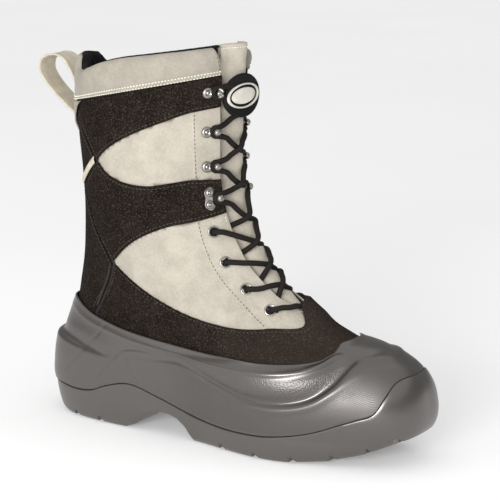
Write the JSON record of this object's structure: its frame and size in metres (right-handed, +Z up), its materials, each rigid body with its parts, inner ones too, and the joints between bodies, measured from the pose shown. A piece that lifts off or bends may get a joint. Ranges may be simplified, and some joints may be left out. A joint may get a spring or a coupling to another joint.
{
  "type": "mukluk, laced winter pac boot",
  "caption": "Laced winter pac boot: grey moulded rubber lower and sole, beige canvas and dark suede shaft, padded collar, hooks and eyelets, and a pull loop.",
  "frame": {"origin": "centre of the bounding box in plan, on the ground under the sole", "axes": "+X towards the toe, -Y the lateral side, +Z up"},
  "size_m": [0.3316, 0.128, 0.2967],
  "materials": {
    "outsole_rubber": "moulded rubber, satin, mid grey",
    "shell_rubber": "moulded rubber, satin, mid grey, dotted side panel",
    "insole_felt": "dark felt footbed",
    "canvas": "beige nylon canvas, fine plain weave",
    "tongue_canvas": "beige nylon canvas over foam",
    "collar_canvas": "beige padded cuff, black fleece inside",
    "suede": "dark brown suede, matt",
    "piping": "rolled piping",
    "webbing": "beige woven webbing",
    "label": "plain folded tape",
    "badge_rubber": "black rubber with a plain pale ring",
    "nickel": "nickel-plated steel",
    "lace": "round braided dark lace"
  },
  "bodies": {
    "root": {"outsole": "outsole_rubber", "shell": "shell_rubber", "insole": "insole_felt", "upper": "canvas", "tongue": "tongue_canvas", "collar": "collar_canvas", "back_strip": "suede", "vamp_guard": "suede", "backstay_tab": "webbing", "pull_loop": "webbing", "side_label": "label", "tongue_badge": "badge_rubber", "lace_bar": "lace", "top_band_lateral": "suede", "mid_band_lateral": "suede", "piping_lateral": "piping", "eyelet_1_lateral": "nickel", "eyelet_2_lateral": "nickel", "eyelet_3_lateral": "nickel", "eyelet_4_lateral": "nickel", "hook_1_lateral": "nickel", "hook_2_lateral": "nickel", "hook_3_lateral": "nickel", "hook_4_lateral": "nickel", "top_band_medial": "suede", "mid_band_medial": "suede", "piping_medial": "piping", "eyelet_1_medial": "nickel", "eyelet_2_medial": "nickel", "eyelet_3_medial": "nickel", "eyelet_4_medial": "nickel", "hook_1_medial": "nickel", "hook_2_medial": "nickel", "hook_3_medial": "nickel", "hook_4_medial": "nickel", "lace_crossing_1": "lace", "lace_crossing_2": "lace", "lace_crossing_3": "lace", "lace_crossing_4": "lace", "lace_crossing_5": "lace", "lace_crossing_6": "lace", "lace_crossing_7": "lace"}
  },
  "joints": []
}
